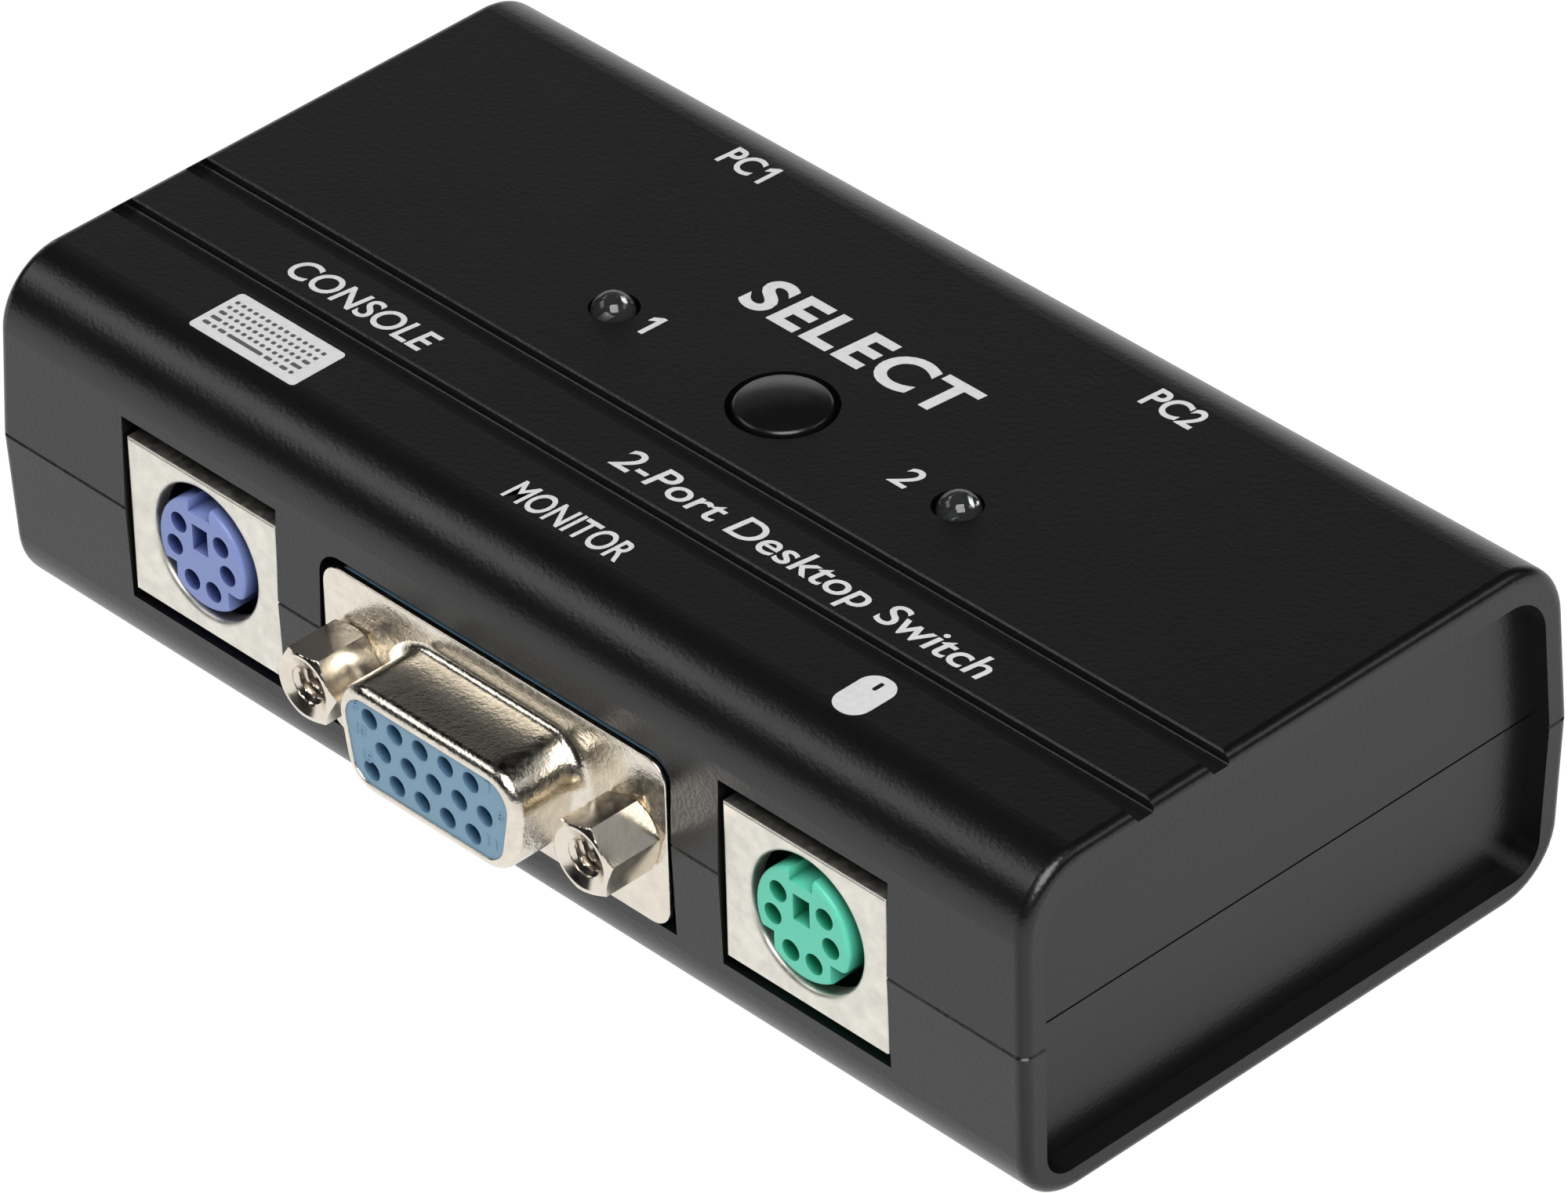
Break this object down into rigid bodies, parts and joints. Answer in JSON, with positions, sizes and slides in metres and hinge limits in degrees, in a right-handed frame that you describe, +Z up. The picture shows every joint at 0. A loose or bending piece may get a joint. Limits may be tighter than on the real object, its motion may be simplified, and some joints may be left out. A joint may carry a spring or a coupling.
{
  "type": "kvm switch",
  "caption": "Palm-sized desktop switch box that shares a keyboard, mouse and monitor between computers, with a push button, lamps and sockets on two sides.",
  "frame": {"origin": "middle of the area that the case rests on, on the plane of the feet's undersides", "axes": "+X along the case to the right seen from the front, -Y out of the front (keyboard, monitor and mouse side), +Z up"},
  "size_m": [0.0924, 0.059, 0.0271],
  "materials": {
    "black_shell_plastic": "fine matte moulded texture",
    "black_gloss_plastic": "polished",
    "screw_steel": "zinc plated",
    "foot_rubber": "matte",
    "board_laminate": "green solder mask",
    "black_part_plastic": "moulded epoxy",
    "switch_tin": "tin plated",
    "plunger_plastic": "moulded",
    "spring_steel": "bare",
    "lead_tin": "tin plated",
    "crystal_steel": "satin",
    "capacitor_sleeve": "shrink sleeve",
    "ceramic_body": "fired",
    "resistor_body": "glazed",
    "clear_epoxy": "clear moulded epoxy",
    "spacer_plastic": "moulded",
    "socket_tin": "tin plated, satin",
    "ring_chrome": "bright plated",
    "keyboard_purple": "satin moulded",
    "mouse_green": "satin moulded",
    "contact_gold": "gold flashed",
    "port_nickel": "bright nickel plated",
    "port_blue": "satin moulded",
    "screwlock_nickel": "nickel plated",
    "lock_steel": "tin plated"
  },
  "bodies": {
    "housing": {"bottom_shell": "black_shell_plastic", "capacitor_cans": "capacitor_sleeve", "capacitor_leads": "lead_tin", "case_screws": "screw_steel", "ceramic_capacitors": "ceramic_body", "computer_1_port_board_locks": "lock_steel", "computer_1_port_front_shell": "port_nickel", "computer_1_port_insulator": "port_blue", "computer_1_port_pins": "contact_gold", "computer_1_port_screwlocks": "screwlock_nickel", "computer_2_port_board_locks": "lock_steel", "computer_2_port_front_shell": "port_nickel", "computer_2_port_insulator": "port_blue", "computer_2_port_pins": "contact_gold", "computer_2_port_screwlocks": "screwlock_nickel", "controller_chip": "black_part_plastic", "controller_leads": "lead_tin", "crystal_can": "crystal_steel", "crystal_leads": "lead_tin", "keyboard_socket_contacts": "contact_gold", "keyboard_socket_moulding": "keyboard_purple", "keyboard_socket_ring": "ring_chrome", "keyboard_socket_shield": "socket_tin", "lamp_1_leads": "lead_tin", "lamp_1_lens": "clear_epoxy", "lamp_1_spacer": "spacer_plastic", "lamp_2_leads": "lead_tin", "lamp_2_lens": "clear_epoxy", "lamp_2_spacer": "spacer_plastic", "main_board": "board_laminate", "monitor_port_board_locks": "lock_steel", "monitor_port_contacts": "contact_gold", "monitor_port_core": "port_blue", "monitor_port_front_shell": "port_nickel", "monitor_port_insulator": "port_blue", "monitor_port_screwlocks": "screwlock_nickel", "mouse_socket_contacts": "contact_gold", "mouse_socket_moulding": "mouse_green", "mouse_socket_ring": "ring_chrome", "mouse_socket_shield": "socket_tin", "resistors": "resistor_body", "rubber_feet": "foot_rubber", "switch_base": "black_part_plastic", "switch_cover": "switch_tin", "switch_dome": "spring_steel", "switch_terminals": "switch_tin", "top_shell": "black_shell_plastic", "video_chip_leads": "lead_tin", "video_chips": "black_part_plastic"},
    "button": {"select_button": "black_gloss_plastic"},
    "plunger": {"switch_plunger": "plunger_plastic"}
  },
  "joints": [
    {"name": "button_press", "type": "slide", "parent": "housing", "child": "button", "axis": [0, 0, -1], "range_m": [0, 0.0003], "stiffness_N_per_m": 600, "springref_m": -0.0001},
    {"name": "plunger_press", "type": "slide", "parent": "housing", "child": "plunger", "axis": [0, 0, -1], "range_m": [0, 0.0003], "deforming": ["switch_dome"]}
  ],
  "couplings": [
    {"joint": "plunger_press", "follows": "button_press", "ratio": 1}
  ]
}
